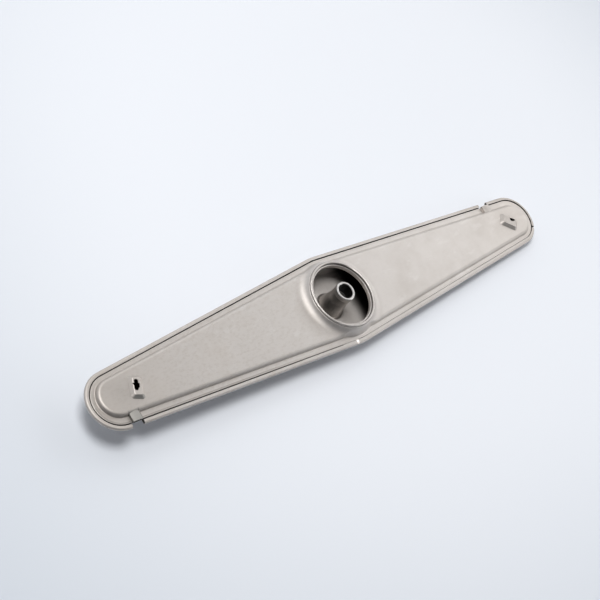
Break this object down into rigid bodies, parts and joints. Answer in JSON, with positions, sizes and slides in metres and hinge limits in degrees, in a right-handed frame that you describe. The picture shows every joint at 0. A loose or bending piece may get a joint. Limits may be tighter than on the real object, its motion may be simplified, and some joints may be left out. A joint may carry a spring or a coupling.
{
  "type": "dishwasher spray arm",
  "caption": "Long tapered dishwasher spray arm of two pressed steel shells crimped at the rim, with a round feed mouth round a hub post, slotted jets and side spouts.",
  "frame": {"origin": "centre of the overall box's lowest face, on the hub axis at the belly's flat", "axes": "+X along the arm, +Y across it, +Z along the hub axis towards the feed side"},
  "size_m": [0.4766, 0.0762, 0.0261],
  "materials": {
    "feed_steel": "satin",
    "spray_steel": "satin",
    "bush_steel": "turned"
  },
  "bodies": {
    "root": {"feed_shell": "feed_steel", "spray_shell": "spray_steel", "hub_bush": "bush_steel"}
  },
  "joints": []
}
